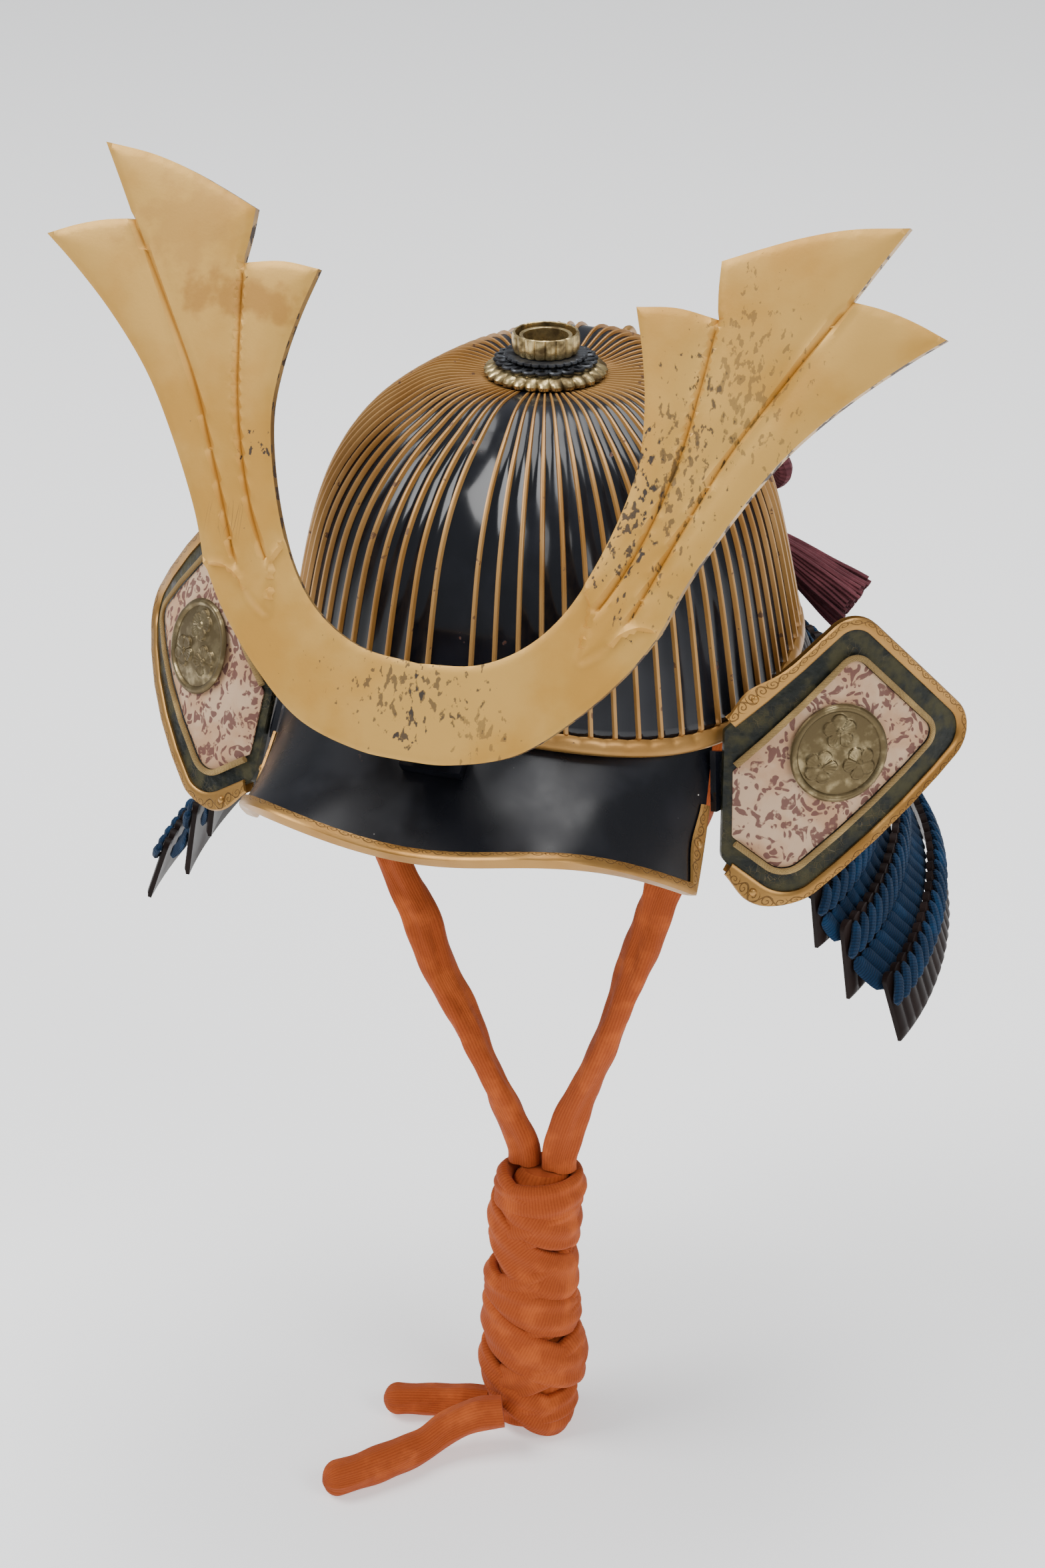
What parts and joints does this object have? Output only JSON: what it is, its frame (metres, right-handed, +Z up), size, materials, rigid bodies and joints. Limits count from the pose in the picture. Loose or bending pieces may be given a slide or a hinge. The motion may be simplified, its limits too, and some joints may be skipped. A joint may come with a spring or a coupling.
{
  "type": "kabuto samurai helmet",
  "caption": "Ribbed lacquered helmet bowl with a horned crest, visor, side turnbacks, a laced neck guard and a wrapped chin cord, worn on a head.",
  "frame": {"origin": "centre of the bowl's base opening, where the head goes in", "axes": "+Z up through the crown, -Y the way the face looks, +X to the wearer's left"},
  "size_m": [0.378, 0.3344, 0.6264],
  "materials": {
    "black_lacquer": "glossy black lacquer",
    "brown_lacquer": "brown-black lacquer",
    "gilt": "worn gilt with engraved scrolls",
    "crest_gold": "pale gold leaf, rubbed and stained",
    "patina": "dark patina",
    "brass": "pale brass",
    "dark_leather": "mottled dark green lacquered leather",
    "printed_leather": "pale leather with printed flecks",
    "gold_braid": "herringbone braid of gilt thread",
    "blue_silk": "deep blue silk lacing",
    "purple_silk": "dusty purple silk cord",
    "orange_cotton": "orange ribbed cotton"
  },
  "bodies": {
    "root": {"bowl": "black_lacquer", "bowl_moulding": "gilt", "visor": "black_lacquer", "visor_trim": "gilt", "crown_petal_base": "brass", "crown_loop_ring": "patina", "crown_toothed_disc": "patina", "crown_petal_cup": "gilt", "crown_tube": "brass", "crest_horns": "crest_gold", "crest_holder": "patina", "neck_lame_1": "brown_lacquer", "neck_lame_2": "brown_lacquer", "neck_lame_3": "brown_lacquer", "neck_lame_4": "brown_lacquer", "neck_lame_5": "brown_lacquer", "lacing_row_2": "blue_silk", "lacing_row_3": "blue_silk", "lacing_row_4": "blue_silk", "lacing_row_5": "blue_silk", "lacing_hang_1": "blue_silk", "lacing_hang_2": "blue_silk", "lacing_hang_3": "blue_silk", "lacing_hang_4": "blue_silk", "turnback_plate_right": "dark_leather", "turnback_leather_right": "printed_leather", "turnback_braid_right": "gold_braid", "turnback_trim_right": "gilt", "turnback_medallion_right": "brass", "turnback_root_right": "black_lacquer", "turnback_plate_left": "dark_leather", "turnback_leather_left": "printed_leather", "turnback_braid_left": "gold_braid", "turnback_trim_left": "gilt", "turnback_medallion_left": "brass", "turnback_root_left": "black_lacquer", "rear_post": "gilt", "rear_ring": "gilt", "rear_bow": "purple_silk", "rear_tassel_right": "purple_silk", "rear_tassel_left": "purple_silk", "cord_loop_left": "orange_cotton", "cord_loop_right": "orange_cotton", "chin_cord_left": "orange_cotton", "chin_cord_right": "orange_cotton", "cord_tail_front": "orange_cotton", "cord_tail_rear": "orange_cotton", "cord_bundle": "orange_cotton"}
  },
  "joints": []
}
